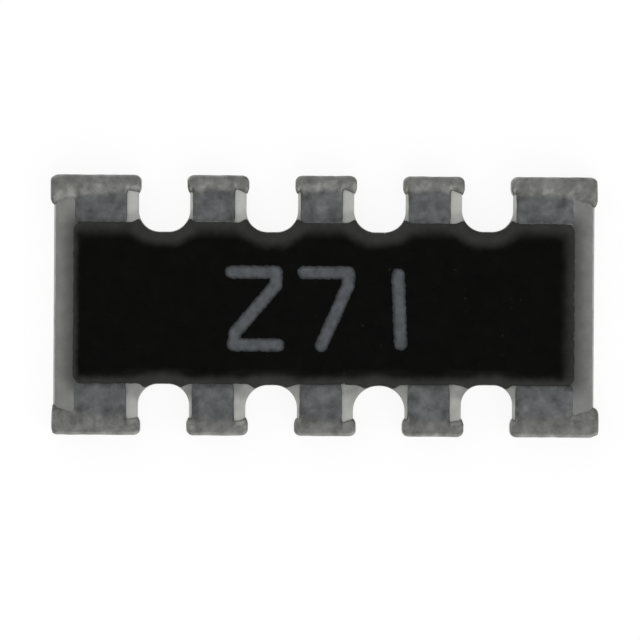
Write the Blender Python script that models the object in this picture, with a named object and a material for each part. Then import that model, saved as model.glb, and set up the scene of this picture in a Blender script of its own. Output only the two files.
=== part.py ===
"""Ten-terminal thick-film resistor network on a notched ceramic board.

A small alumina board is notched between its terminals on both long sides. Conductor
pads, a common bus, resistor films and a glass layer are printed on its top face, a
black coat covers them, and a value code is printed on the coat. A plated metal skin
wraps each terminal from the top pad over the tip to a pad on the underside.

X runs along the board, Y across it and Z up. The origin is on the seating plane,
under the middle of the board.
"""

import math

import bmesh
import bpy
from mathutils import Matrix, Vector

MM = 0.001

# Terminals, counted counterclockwise from the lower left corner
TERMINALS_PER_SIDE = 5
TERMINAL_PITCH = 1.27 * MM

# Ceramic board: its outline is snapped along scored lines, its notches are punched
BOARD_THICKNESS = 0.45 * MM
BOARD_WIDTH = 3.00 * MM
END_MARGIN = 0.64 * MM
SCORE_CHAMFER = 0.02 * MM
NOTCH_WIDTH = 0.61 * MM
NOTCH_DEPTH = 0.615 * MM
PUNCH_SHIFT_X = 0.02 * MM
PUNCH_SHIFT_Y = -0.03 * MM

# Clear height between two layers, and between a skin and what it covers
SEAT_GAP = 0.002 * MM

# Conductor print on the top face
PRINT_THICKNESS = 0.012 * MM
PRINT_SHIFT_X = -0.03 * MM
PAD_WIDTH = 0.48 * MM
PAD_INNER_LAP = 0.22 * MM
BUS_WIDTH = 0.24 * MM
END_STRIP_WIDTH = 0.30 * MM

# Conductor pads on the underside
BACK_PRINT_THICKNESS = 0.012 * MM
BACK_PAD_LENGTH = 0.45 * MM

# Resistor films, lapped onto the bus and the pads, each with one L-shaped trim cut
FILM_THICKNESS = 0.014 * MM
FILM_WIDTH = 0.40 * MM
FILM_LAP = 0.07 * MM
TRIM_KERF = 0.03 * MM
TRIM_PLUNGE = 0.17 * MM
TRIM_RUN = 0.13 * MM
TRIM_OFFSET = 0.12 * MM

# Glass over the films and the bus, all along the coat
GLASS_COVER = 0.012 * MM
GLASS_MARGIN = 0.03 * MM
GLASS_END_INSET = 0.10 * MM
GLASS_CORNER = 0.05 * MM

# Black coat over all but the terminals and the two end strips. It swells over the glass
COAT_THICKNESS = 0.040 * MM
COAT_COVER = 0.018 * MM
COAT_SLOPE = 0.07 * MM
COAT_EDGE = 0.024 * MM
COAT_CORNER = 0.06 * MM
COAT_END_MARGIN = 0.23 * MM
COAT_TAB_LAP = 0.047 * MM
COAT_SHIFT_Y = 0.025 * MM
COAT_NOTCH_SETBACK = 0.02 * MM

# Value code printed on the coat
INK_THICKNESS = 0.006 * MM
INK_STROKE = 0.16 * MM
DIGIT_WIDTH = 0.71 * MM
DIGIT_HEIGHT = 1.015 * MM
DIGIT_PITCH = 0.85 * MM
DIGIT_SHIFT_X = 0.04 * MM
DIGIT_SHIFT_Y = -0.035 * MM

# Plated skin of a terminal
PLATING_THICKNESS = 0.020 * MM
PLATING_SPREAD = 0.01 * MM
PLATING_EDGE = 0.006 * MM
CAP_THICKNESS = 0.03 * MM
CAP_BAND = 0.23 * MM
END_CAP_BAND = 0.33 * MM
CAP_ARCH = 0.08 * MM
CAP_LIP = 0.008 * MM
CAP_TAPER = 0.08 * MM
CAP_RISE = 0.012 * MM
CAP_CORNER = 0.07 * MM
CAP_ROUND = 0.02 * MM

# Facets of a quarter turn on the notches, and on the small rounded corners
NOTCH_STEPS = 6
CORNER_STEPS = 4
EDGE_STEPS = 3
ARCH_STEPS = 8

BOARD_LENGTH = (TERMINALS_PER_SIDE - 1) * TERMINAL_PITCH + 2 * END_MARGIN
NOTCH_RADIUS = NOTCH_WIDTH / 2
WAIST = BOARD_WIDTH / 2 - NOTCH_DEPTH

# Heights of the layers, from the seating plane up
BACK_PRINT_BOTTOM = PLATING_THICKNESS + SEAT_GAP
BACK_PRINT_TOP = BACK_PRINT_BOTTOM + BACK_PRINT_THICKNESS
BOARD_BOTTOM = BACK_PRINT_TOP + SEAT_GAP
BOARD_TOP = BOARD_BOTTOM + BOARD_THICKNESS
PRINT_BOTTOM = BOARD_TOP + SEAT_GAP
PRINT_TOP = PRINT_BOTTOM + PRINT_THICKNESS
PLATING_TOP = PRINT_TOP + SEAT_GAP + PLATING_THICKNESS
CAP_TOP = PLATING_TOP + CAP_RISE
FILM_TOP = PRINT_TOP + SEAT_GAP + FILM_THICKNESS
GLASS_TOP = FILM_TOP + GLASS_COVER
COAT_BOTTOM = BOARD_TOP + SEAT_GAP
COAT_FLAT_TOP = COAT_BOTTOM + COAT_THICKNESS
COAT_TOP = GLASS_TOP + SEAT_GAP + COAT_COVER
INK_BOTTOM = COAT_TOP + SEAT_GAP

# Inner ends of the pads, under the coat
PAD_INNER = WAIST - PAD_INNER_LAP
PRINT_OUTER = BOARD_WIDTH / 2 - SCORE_CHAMFER
COAT_HALF_WIDTH = WAIST + COAT_TAB_LAP
COAT_HALF_LENGTH = BOARD_LENGTH / 2 - COAT_END_MARGIN


def clear_scene():
    for item in list(bpy.data.objects):
        bpy.data.objects.remove(item, do_unlink=True)


def material(name, color, roughness, metallic=0.0):
    made = bpy.data.materials.new(name)
    made.use_nodes = True
    shader = made.node_tree.nodes["Principled BSDF"]
    shader.inputs["Base Color"].default_value = (*color, 1.0)
    shader.inputs["Roughness"].default_value = roughness
    shader.inputs["Metallic"].default_value = metallic
    return made


def new_object(name, mesh):
    made = bpy.data.objects.new(name, mesh)
    bpy.context.collection.objects.link(made)
    return made


def loft(name, rings):
    """Closed solid through a stack of outlines that share one number of points."""
    bm = bmesh.new()
    loops = [[bm.verts.new((x, y, z)) for x, y in outline] for outline, z in rings]
    count = len(loops[0])
    for lower, upper in zip(loops, loops[1:]):
        for k in range(count):
            after = (k + 1) % count
            bm.faces.new((lower[k], lower[after], upper[after], upper[k]))
    bm.faces.new(list(reversed(loops[0])))
    bm.faces.new(loops[-1])
    bmesh.ops.recalc_face_normals(bm, faces=bm.faces)
    mesh = bpy.data.meshes.new(name)
    bm.to_mesh(mesh)
    bm.free()
    return new_object(name, mesh)


def combine(target, tool, operation):
    """Apply one Boolean to the target's mesh, and delete the tool object."""
    step = target.modifiers.new(operation, "BOOLEAN")
    step.operation = operation
    step.solver = "EXACT"
    step.object = tool
    graph = bpy.context.evaluated_depsgraph_get()
    result = bpy.data.meshes.new_from_object(target.evaluated_get(graph))
    target.modifiers.remove(step)
    old = target.data
    target.data = result
    bpy.data.meshes.remove(old)
    bpy.data.objects.remove(tool, do_unlink=True)


def finish(item, origin, surface, parent):
    """Put the object's origin on its own place, and give it its material."""
    origin = Vector(origin)
    item.data.transform(Matrix.Translation(-origin))
    item.location = origin
    item.data.materials.clear()
    item.data.materials.append(surface)
    item.parent = parent


def arc(center_x, center_y, radius, start, stop, steps):
    """Points along an arc between two angles in degrees, with both ends."""
    points = []
    for k in range(steps + 1):
        angle = math.radians(start + (stop - start) * k / steps)
        points.append((center_x + radius * math.cos(angle), center_y + radius * math.sin(angle)))
    return points


def mirrored(points):
    """The same outline mirrored across the X axis, still counterclockwise."""
    return [(x, -y) for x, y in reversed(points)]


def rounded_rectangle(x_low, x_high, y_low, y_high, radius, steps=CORNER_STEPS):
    points = arc(x_high - radius, y_low + radius, radius, -90, 0, steps)
    points += arc(x_high - radius, y_high - radius, radius, 0, 90, steps)
    points += arc(x_low + radius, y_high - radius, radius, 90, 180, steps)
    points += arc(x_low + radius, y_low + radius, radius, 180, 270, steps)
    return points


def rectangle(x_low, x_high, y_low, y_high):
    return [(x_low, y_low), (x_high, y_low), (x_high, y_high), (x_low, y_high)]


def terminal_x(column):
    """Nominal centre of a column of terminals, counted from the left."""
    return (column - (TERMINALS_PER_SIDE - 1) / 2) * TERMINAL_PITCH


def terminal_number(column, side):
    """Counterclockwise from the lower left: side -1 is the front row, +1 the back row."""
    return column + 1 if side < 0 else 2 * TERMINALS_PER_SIDE - column


def notch_x(gap):
    """Centre of the notch between two neighbouring columns."""
    return terminal_x(gap) + TERMINAL_PITCH / 2 + PUNCH_SHIFT_X


def notch_center_y(side):
    """Centre of the round bottom of the notches on one long side."""
    return side * (WAIST + NOTCH_RADIUS) + PUNCH_SHIFT_Y


def tab_sides(column):
    """Left and right flanks of the ceramic tab that carries a terminal."""
    left = notch_x(column) - TERMINAL_PITCH + NOTCH_RADIUS
    right = notch_x(column) - NOTCH_RADIUS
    if column == 0:
        left = -BOARD_LENGTH / 2
    if column == TERMINALS_PER_SIDE - 1:
        right = BOARD_LENGTH / 2
    return left, right


def pad_sides(column):
    """Left and right edges of the printed pad on top of a tab."""
    center = terminal_x(column) + PRINT_SHIFT_X
    return center - PAD_WIDTH / 2, center + PAD_WIDTH / 2


def is_corner(column):
    return column in (0, TERMINALS_PER_SIDE - 1)


def board_outline(grow=0.0, score=0.0):
    """Board in plan, grown all round, with its snapped sides drawn in by the score."""
    half_length = BOARD_LENGTH / 2 + grow - score
    half_width = BOARD_WIDTH / 2 + grow - score
    radius = NOTCH_RADIUS - grow
    gaps = range(TERMINALS_PER_SIDE - 1)
    points = [(-half_length, -half_width)]
    for gap in gaps:
        x = notch_x(gap)
        points.append((x - radius, -half_width))
        points += arc(x, notch_center_y(-1), radius, 180, 0, 2 * NOTCH_STEPS)
        points.append((x + radius, -half_width))
    points += [(half_length, -half_width), (half_length, half_width)]
    for gap in reversed(gaps):
        x = notch_x(gap)
        points.append((x + radius, half_width))
        points += arc(x, notch_center_y(1), radius, 0, -180, 2 * NOTCH_STEPS)
        points.append((x - radius, half_width))
    points.append((-half_length, half_width))
    return points


def board(name, grow=0.0):
    low = BOARD_BOTTOM - grow
    high = BOARD_TOP + grow
    return loft(name, [
        (board_outline(grow, SCORE_CHAMFER), low),
        (board_outline(grow), low + SCORE_CHAMFER),
        (board_outline(grow), high - SCORE_CHAMFER),
        (board_outline(grow, SCORE_CHAMFER), high),
    ])


def signal_pad(name, column, side, grow=0.0):
    """Printed pad of a middle terminal, from the tab's tip to its inner end."""
    left, right = pad_sides(column)
    outline = rectangle(left - grow, right + grow, PAD_INNER - grow, PRINT_OUTER + grow)
    if side < 0:
        outline = mirrored(outline)
    return loft(name, [(outline, PRINT_BOTTOM - grow), (outline, PRINT_TOP + grow)])


def common_conductor(name, grow=0.0):
    """Bus, end strips and corner pads, printed as one piece that joins the four corners."""
    end = BOARD_LENGTH / 2 - SCORE_CHAMFER + grow
    strip = BOARD_LENGTH / 2 - END_STRIP_WIDTH - grow
    left_pad = pad_sides(0)[1] + grow
    right_pad = pad_sides(TERMINALS_PER_SIDE - 1)[0] - grow
    tip = PRINT_OUTER + grow
    inner = PAD_INNER - grow
    bus = BUS_WIDTH / 2 + grow
    outline = [
        (-end, -tip), (left_pad, -tip), (left_pad, -inner), (-strip, -inner),
        (-strip, -bus), (strip, -bus),
        (strip, -inner), (right_pad, -inner), (right_pad, -tip), (end, -tip),
        (end, tip), (right_pad, tip), (right_pad, inner), (strip, inner),
        (strip, bus), (-strip, bus),
        (-strip, inner), (left_pad, inner), (left_pad, tip), (-end, tip),
    ]
    return loft(name, [(outline, PRINT_BOTTOM - grow), (outline, PRINT_TOP + grow)])


def back_pad(name, column, side, grow=0.0):
    left, right = pad_sides(column)
    inner = BOARD_WIDTH / 2 - BACK_PAD_LENGTH
    outline = rectangle(left - grow, right + grow, inner - grow, PRINT_OUTER + grow)
    if side < 0:
        outline = mirrored(outline)
    return loft(name, [(outline, BACK_PRINT_BOTTOM - grow), (outline, BACK_PRINT_TOP + grow)])


def film_profile(grow=0.0):
    """Section of a film across the board: it steps up onto the bus and onto the pad."""
    bus_edge = BUS_WIDTH / 2 + SEAT_GAP - grow
    pad_edge = PAD_INNER - SEAT_GAP + grow
    bus_end = BUS_WIDTH / 2 - FILM_LAP - grow
    pad_end = PAD_INNER + FILM_LAP + grow
    under_board = BOARD_TOP + SEAT_GAP - grow
    under_lap = PRINT_TOP + SEAT_GAP - grow
    over_board = BOARD_TOP + SEAT_GAP + FILM_THICKNESS + grow
    over_lap = FILM_TOP + grow
    rise = over_lap - over_board
    cover = FILM_THICKNESS + grow
    return [
        (bus_end, under_lap), (bus_edge, under_lap), (bus_edge, under_board),
        (pad_edge, under_board), (pad_edge, under_lap), (pad_end, under_lap),
        (pad_end, over_lap), (pad_edge - cover, over_lap),
        (pad_edge - cover - rise, over_board), (bus_edge + cover + rise, over_board),
        (bus_edge + cover, over_lap), (bus_end, over_lap),
    ]


def film_blank(name, column, side, grow=0.0):
    """A film before trimming: its section, swept along X over the film's width."""
    center = terminal_x(column) + PRINT_SHIFT_X
    half = FILM_WIDTH / 2 + grow
    blank = loft(name, [(film_profile(grow), -half), (film_profile(grow), half)])
    # The section's own X, Y and sweep become the board's Y, Z and X
    swing = Matrix(((0, 0, 1, center), (side, 0, 0, 0), (0, 1, 0, 0), (0, 0, 0, 1)))
    blank.data.transform(swing)
    if side < 0:
        blank.data.flip_normals()
    return blank


def trim_cutter(name, column, side):
    """The path of the trimming laser: in from one flank, then along the current."""
    center = terminal_x(column) + PRINT_SHIFT_X
    flank = center + FILM_WIDTH / 2
    start = BUS_WIDTH / 2 + TRIM_OFFSET
    deep = flank - TRIM_PLUNGE
    outline = [
        (deep, start), (flank + FILM_WIDTH, start), (flank + FILM_WIDTH, start + TRIM_KERF),
        (deep + TRIM_KERF, start + TRIM_KERF), (deep + TRIM_KERF, start + TRIM_RUN),
        (deep, start + TRIM_RUN),
    ]
    if side < 0:
        outline = mirrored(outline)
    return loft(name, [(outline, BOARD_BOTTOM), (outline, COAT_TOP)])


def glass_outline(grow=0.0):
    half_length = COAT_HALF_LENGTH - GLASS_END_INSET + grow
    half_width = PAD_INNER + FILM_LAP + GLASS_MARGIN + grow
    corner = GLASS_CORNER + max(grow, 0.0)
    return rounded_rectangle(-half_length, half_length, -half_width, half_width, corner)


def glass_block(name, grow=0.0):
    """The glass layer as one flat block, before the layers under it are taken out."""
    outline = glass_outline(grow)
    return loft(name, [(outline, BOARD_TOP + SEAT_GAP - grow), (outline, GLASS_TOP + grow)])


def coat_outline(shrink=0.0):
    """Coat in plan: a rounded rectangle that the notches bite into, drawn in by the shrink."""
    half_length = COAT_HALF_LENGTH - shrink
    radius = NOTCH_RADIUS + COAT_NOTCH_SETBACK + shrink
    corner = max(COAT_CORNER - shrink, COAT_CORNER / 4)
    points = []
    for side in (-1, 1):
        edge = side * (COAT_HALF_WIDTH - shrink) + COAT_SHIFT_Y
        center_y = notch_center_y(side)
        rise = (center_y - edge) * side
        row = arc(-half_length + corner, edge - side * corner, corner, 180, 180 - side * 90, CORNER_STEPS)
        if rise < radius:
            # Each bite is the arc of its notch that lies inside the coat's straight edge
            reach = math.degrees(math.asin(rise / radius))
            start = 180 + side * reach
            for gap in range(TERMINALS_PER_SIDE - 1):
                row += arc(notch_x(gap), center_y, radius, start, start + side * (180 - 2 * reach), NOTCH_STEPS)
        row += arc(half_length - corner, edge - side * corner, corner, side * 90, 0, CORNER_STEPS)
        points += row if side < 0 else list(reversed(row))
    return points


def rounded_edge(outline_at, low, high, edge):
    """Rings of a slab whose top edge is rounded over, from the foot to the top face."""
    rings = [(outline_at(0.0), low)]
    for k in range(EDGE_STEPS + 1):
        angle = math.radians(90 * k / EDGE_STEPS)
        rings.append((outline_at(edge * (1 - math.cos(angle))), high - edge * (1 - math.sin(angle))))
    return rings


def coat_swell(name):
    """The part of the coat that rises over the glass, in a soft S from its foot to its top."""
    outer = COAT_SLOPE / 2
    rings = [(glass_outline(outer), COAT_BOTTOM)]
    for k in range(2 * EDGE_STEPS + 1):
        share = k / (2 * EDGE_STEPS)
        height = COAT_FLAT_TOP + (COAT_TOP - COAT_FLAT_TOP) * (1 - math.cos(math.pi * share)) / 2
        rings.append((glass_outline(outer - COAT_SLOPE * share), height))
    return loft(name, rings)


def cap_outline(column, shrink):
    """Plated cap over the tip of a tab on the back row: its inner edge arches to the tip."""
    left, right = tab_sides(column)
    low_x = left - CAP_THICKNESS + shrink
    high_x = right + CAP_THICKNESS - shrink
    tip = BOARD_WIDTH / 2 + CAP_THICKNESS - shrink
    radius = CAP_CORNER - shrink
    left_band = END_CAP_BAND if column == 0 else CAP_BAND
    right_band = END_CAP_BAND if column == TERMINALS_PER_SIDE - 1 else CAP_BAND
    lip_low = left - CAP_LIP + shrink / 2
    lip_high = right + CAP_LIP - shrink / 2
    points = []
    for k in range(ARCH_STEPS + 1):
        share = k / ARCH_STEPS
        band = left_band + (right_band - left_band) * share
        arch = CAP_ARCH * (1 - (2 * share - 1) ** 2)
        points.append((lip_low + (lip_high - lip_low) * share, BOARD_WIDTH / 2 - band + arch + shrink))
    # From its thin lip the cap thickens along both flanks towards the tip
    points.append((high_x, BOARD_WIDTH / 2 - right_band + CAP_TAPER + shrink))
    points += arc(high_x - radius, tip - radius, radius, 0, 90, CORNER_STEPS)
    points += arc(low_x + radius, tip - radius, radius, 90, 180, CORNER_STEPS)
    points.append((low_x, BOARD_WIDTH / 2 - left_band + CAP_TAPER + shrink))
    return points


def plated_pad_sides(column):
    """The plating spreads a little past the printed pad. On a corner it ends with the coat."""
    left, right = pad_sides(column)
    left -= PLATING_SPREAD
    right += PLATING_SPREAD
    if column == 0:
        left = -COAT_HALF_LENGTH
    if column == TERMINALS_PER_SIDE - 1:
        right = COAT_HALF_LENGTH
    return left, right


def terminal(name, column, side):
    """Plated skin: cap over the tip, plated pad on top, plated pad underneath."""
    def facing(outline):
        return mirrored(outline) if side < 0 else outline

    rings = []
    for k in range(EDGE_STEPS + 1):
        angle = math.radians(90 * k / EDGE_STEPS)
        shrink = CAP_ROUND * (1 - math.sin(angle))
        rings.append((facing(cap_outline(column, shrink)), CAP_ROUND * (1 - math.cos(angle))))
    rings += [(outline, CAP_TOP - height) for outline, height in reversed(rings)]
    skin = loft(name, rings)

    left, right = plated_pad_sides(column)
    coat_edge = COAT_HALF_WIDTH + side * COAT_SHIFT_Y + SEAT_GAP
    board_middle = (BOARD_BOTTOM + BOARD_TOP) / 2
    tip = PRINT_OUTER

    def top_pad(shrink):
        return facing(rectangle(left + shrink, right - shrink, coat_edge + shrink, tip))

    combine(skin, loft("top_pad", [
        (top_pad(0.0), board_middle),
        (top_pad(0.0), PLATING_TOP - PLATING_EDGE),
        (top_pad(PLATING_EDGE), PLATING_TOP),
    ]), "UNION")

    left, right = pad_sides(column)
    inner = BOARD_WIDTH / 2 - BACK_PAD_LENGTH - PLATING_SPREAD

    def lower_pad(shrink):
        low_x = left - PLATING_SPREAD + shrink
        high_x = right + PLATING_SPREAD - shrink
        return facing(rectangle(low_x, high_x, inner + shrink, tip))

    combine(skin, loft("lower_pad", [
        (lower_pad(PLATING_EDGE), 0.0),
        (lower_pad(0.0), PLATING_EDGE),
        (lower_pad(0.0), board_middle),
    ]), "UNION")

    combine(skin, board("board_space", SEAT_GAP), "DIFFERENCE")
    if is_corner(column):
        combine(skin, common_conductor("print_space", SEAT_GAP), "DIFFERENCE")
    else:
        combine(skin, signal_pad("print_space", column, side, SEAT_GAP), "DIFFERENCE")
    combine(skin, back_pad("back_print_space", column, side, SEAT_GAP), "DIFFERENCE")
    return skin


def stroke(name, start, end):
    """One inked line with round ends."""
    along = Vector(end) - Vector(start)
    heading = math.degrees(math.atan2(along.y, along.x))
    radius = INK_STROKE / 2
    outline = arc(*end, radius, heading - 90, heading + 90, 2 * CORNER_STEPS)
    outline += arc(*start, radius, heading + 90, heading + 270, 2 * CORNER_STEPS)
    return loft(name, [(outline, INK_BOTTOM), (outline, INK_BOTTOM + INK_THICKNESS)])


def digit(name, path, center_x):
    """A digit drawn as joined strokes. The path is in shares of the digit's own size."""
    width = DIGIT_WIDTH - INK_STROKE
    height = DIGIT_HEIGHT - INK_STROKE
    points = [(center_x + x * width, DIGIT_SHIFT_Y + y * height) for x, y in path]
    figure = stroke(name, points[0], points[1])
    for start, end in zip(points[1:], points[2:]):
        combine(figure, stroke("stroke", start, end), "UNION")
    return figure


def build():
    clear_scene()
    alumina = material("alumina", (0.80, 0.79, 0.75), 0.55)
    print_metal = material("silver_palladium", (0.42, 0.42, 0.40), 0.5, 0.7)
    film_paste = material("resistor_paste", (0.03, 0.03, 0.03), 0.6)
    glass = material("green_glass", (0.05, 0.14, 0.08), 0.25)
    black_coat = material("black_coat", (0.006, 0.006, 0.005), 0.5)
    ink = material("marking_ink", (0.10, 0.11, 0.13), 0.7)
    tin = material("matte_tin", (0.34, 0.34, 0.33), 0.45, 0.9)

    seat = bpy.data.objects.new("network", None)
    bpy.context.collection.objects.link(seat)

    finish(board("substrate"), (0, 0, BOARD_BOTTOM), alumina, seat)
    finish(common_conductor("common_conductor"), (0, 0, PRINT_BOTTOM), print_metal, seat)

    signal_places = [(column, side) for side in (-1, 1) for column in range(1, TERMINALS_PER_SIDE - 1)]
    for column, side in signal_places:
        number = terminal_number(column, side)
        x = terminal_x(column) + PRINT_SHIFT_X
        pad = signal_pad(f"signal_pad_{number}", column, side)
        finish(pad, (x, side * PAD_INNER, PRINT_BOTTOM), print_metal, seat)
        film = film_blank(f"resistor_{number}", column, side)
        combine(film, trim_cutter("trim", column, side), "DIFFERENCE")
        finish(film, (x, side * BUS_WIDTH / 2, BOARD_TOP), film_paste, seat)

    layer = glass_block("glass_layer")
    combine(layer, common_conductor("print_space", SEAT_GAP), "DIFFERENCE")
    for column, side in signal_places:
        combine(layer, signal_pad("print_space", column, side, SEAT_GAP), "DIFFERENCE")
        combine(layer, film_blank("film_space", column, side, SEAT_GAP), "DIFFERENCE")
        combine(layer, trim_cutter("trim", column, side), "DIFFERENCE")
    finish(layer, (0, 0, BOARD_TOP), glass, seat)

    coat = loft("overcoat", rounded_edge(coat_outline, COAT_BOTTOM, COAT_FLAT_TOP, COAT_EDGE))
    combine(coat, coat_swell("swell"), "UNION")
    combine(coat, common_conductor("print_space", SEAT_GAP), "DIFFERENCE")
    for column, side in signal_places:
        combine(coat, signal_pad("print_space", column, side, SEAT_GAP), "DIFFERENCE")
    combine(coat, glass_block("glass_space", SEAT_GAP), "DIFFERENCE")
    finish(coat, (0, 0, COAT_BOTTOM), black_coat, seat)

    two = [(-0.5, 0.5), (0.45, 0.5), (0.45, 0.33), (-0.42, -0.33), (-0.45, -0.5), (0.5, -0.5)]
    seven = [(-0.5, 0.5), (0.45, 0.5), (0.45, 0.33), (-0.12, -0.5)]
    one = [(-0.03, 0.47), (0.03, -0.47)]
    for place, path in enumerate((two, seven, one)):
        x = (place - 1) * DIGIT_PITCH + DIGIT_SHIFT_X
        finish(digit(f"marking_digit_{place + 1}", path, x), (x, DIGIT_SHIFT_Y, INK_BOTTOM), ink, seat)

    for side in (-1, 1):
        for column in range(TERMINALS_PER_SIDE):
            number = terminal_number(column, side)
            x = terminal_x(column)
            pad = back_pad(f"back_pad_{number}", column, side)
            finish(pad, (x, side * BOARD_WIDTH / 2, BACK_PRINT_BOTTOM), print_metal, seat)
            skin = terminal(f"terminal_{number}", column, side)
            finish(skin, (x, side * BOARD_WIDTH / 2, 0), tin, seat)


build()
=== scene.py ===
# %% [markdown]
# # A ten-terminal resistor network
#
# The real part is a chip of alumina ceramic 6.4 mm long and half a millimetre thick.
# Notches with rounded corners are punched into both long sides, and each tooth between
# them carries a tin-plated terminal. Conductor, resistor films and glass are printed on the
# top face, a black coat covers them, and a value code is printed on the coat.
#
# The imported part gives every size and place. This script gives each piece the surface
# that a microscope would show: snapped ceramic, lumpy plating, a coat that settles over
# the films below it, and ink with soft, uneven edges.

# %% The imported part
import math
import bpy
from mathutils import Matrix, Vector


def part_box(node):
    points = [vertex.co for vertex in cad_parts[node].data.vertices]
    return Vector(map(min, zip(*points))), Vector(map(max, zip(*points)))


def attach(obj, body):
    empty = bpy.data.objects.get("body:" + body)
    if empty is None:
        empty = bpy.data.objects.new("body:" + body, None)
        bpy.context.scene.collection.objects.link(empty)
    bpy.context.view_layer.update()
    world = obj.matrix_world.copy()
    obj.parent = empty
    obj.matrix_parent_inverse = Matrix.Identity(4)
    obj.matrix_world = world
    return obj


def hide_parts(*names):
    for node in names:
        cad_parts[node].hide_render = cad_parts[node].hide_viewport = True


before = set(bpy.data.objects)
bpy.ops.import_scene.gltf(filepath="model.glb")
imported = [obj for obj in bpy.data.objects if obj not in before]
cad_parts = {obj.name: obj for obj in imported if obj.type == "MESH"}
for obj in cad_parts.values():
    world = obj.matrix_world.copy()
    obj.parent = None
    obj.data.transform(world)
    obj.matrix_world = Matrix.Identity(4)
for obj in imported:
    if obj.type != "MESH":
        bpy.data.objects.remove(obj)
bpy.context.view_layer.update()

from types import SimpleNamespace

import bmesh
import bpy
import numpy as np
from mathutils import Matrix, Vector, noise
from mathutils.bvhtree import BVHTree

print("nodes in the packed part:", len(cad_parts))

# %% [markdown]
# ## Working in millimetres
#
# The part is so small that metres would fill the script with zeros, and some of
# Blender's tools stop at a tenth of a millimetre. So every mesh is modelled a thousand
# times too large, with one unit for each millimetre, and is shrunk to its real size
# when it is done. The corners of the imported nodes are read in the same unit.

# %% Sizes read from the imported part
MM = 0.001


def corners(node):
    """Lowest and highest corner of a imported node, in millimetres."""
    low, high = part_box(node)
    return np.array(low) / MM, np.array(high) / MM


board_low, board_high = corners("substrate")
coat_low, coat_high = corners("overcoat")
print_low, print_high = corners("common_conductor")
half_length = board_high[0]
half_width = board_high[1]
print("board", np.round(board_high - board_low, 3), "coat", np.round(coat_high - coat_low, 3))

# %% Sizes that the boxes don't show
PITCH = 1.27
COLUMNS = 5
NOTCH_HALF = 0.305
NOTCH_DEPTH = 0.615
PUNCH_SHIFT_X = 0.02
PUNCH_SHIFT_Y = -0.03
SEAT_GAP = 0.002

# For the front and the back long side: how much shallower each notch is than that depth,
# and the radius of its two inner corners.
NOTCH_WEAR = {
    -1: [(0.014, 0.250), (0.022, 0.268), (0.024, 0.295), (0.009, 0.230)],
    1: [(0.010, 0.255), (0.013, 0.250), (0.016, 0.255), (0.030, 0.255)],
}

first_column = PUNCH_SHIFT_X - (COLUMNS - 2) / 2 * PITCH
notch_columns = [first_column + gap * PITCH for gap in range(COLUMNS - 1)]
print("notch centres along the board", np.round(notch_columns, 3))

# %% [markdown]
# ## Outlines as distances
#
# Every printed layer, and the ceramic itself, is a flat shape with some thickness. Its
# outline could be a list of points, but here it is a distance function: for any place
# on the board it tells how far outside the outline that place is, with negative
# numbers inside. Such functions join with `minimum` and cut with `maximum`, a wobble is
# added to them like any number, and the same distance later rounds the edge over.

# %% Distance functions
def overlap_distance(first, second, corner=0.0):
    """Distance outside what two shapes share, with its corners rounded to this radius."""
    first, second = first + corner, second + corner
    beyond = np.hypot(np.maximum(first, 0), np.maximum(second, 0))
    return beyond + np.minimum(np.maximum(first, second), 0) - corner


def block_distance(x, y, low_x, high_x, low_y, high_y, corner=0.0):
    """Distance outside an upright rectangle with rounded corners."""
    across = np.abs(x - (low_x + high_x) / 2) - (high_x - low_x) / 2
    along = np.abs(y - (low_y + high_y) / 2) - (high_y - low_y) / 2
    return overlap_distance(across, along, corner)


def eased(values, start, end):
    """0 before the start and 1 after the end, with a soft change between them."""
    share = np.clip((values - start) / (end - start), 0, 1)
    return share * share * (3 - 2 * share)


def notch_distance(x, y):
    """Distance outside the eight notches, which run out over the long sides."""
    nearest = np.full(np.shape(x), np.inf)
    for side, wear in NOTCH_WEAR.items():
        for column, (shallower, corner) in zip(notch_columns, wear):
            floor_y = side * (half_width - NOTCH_DEPTH + shallower) + PUNCH_SHIFT_Y
            across, before_floor = np.abs(x - column) - NOTCH_HALF, (floor_y - y) * side
            nearest = np.minimum(nearest, overlap_distance(across, before_floor, corner))
    return nearest


mouth = notch_distance(notch_columns[0], half_width)
print("the middle of a notch's mouth lies", -np.round(mouth, 3), "mm inside it")

# %% [markdown]
# ## Unevenness
#
# Nothing that is fired, printed or plated is even. One helper gives smooth noise for an
# array of places. `patch` is the width of one lump, and `seed` moves the noise, so that
# no two pieces share a pattern and each run gives the same one.

# %% Smooth noise over places
SEED_STEP = 17.31


def lumps(x, y, z, patch, seed, octaves=3):
    """Noise between about -1 and 1 at each place, with lumps as wide as the patch."""
    shape = np.shape(x)
    flat = [np.ravel(np.broadcast_to(value, shape)) for value in (x, y, z)]
    places = np.column_stack(flat) / patch + seed * SEED_STEP
    values = [noise.fractal(place, 1.0, 2.0, octaves) for place in places]
    return np.reshape(values, shape)


print("noise at one place", round(float(lumps(np.zeros(1), 0, 0, 0.1, 1)[0]), 3))

# %% [markdown]
# ## One way to make every flat layer
#
# A film needs a fine mesh, because its face swells over what lies below and its edge is
# rounded. A grid of squares is laid over the outline. Grid points within half a step of
# the outline are pulled onto it, points further out are dropped, and the rest carries
# two faces, the upper and the lower, which are joined by a wall along the edge. A regular
# grid shades more evenly than triangles between scattered points, and it is quick.

# %% From a grid to a closed film
PROBES_PER_STEP = 8
LEAST_SLOPE = 0.2


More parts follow.
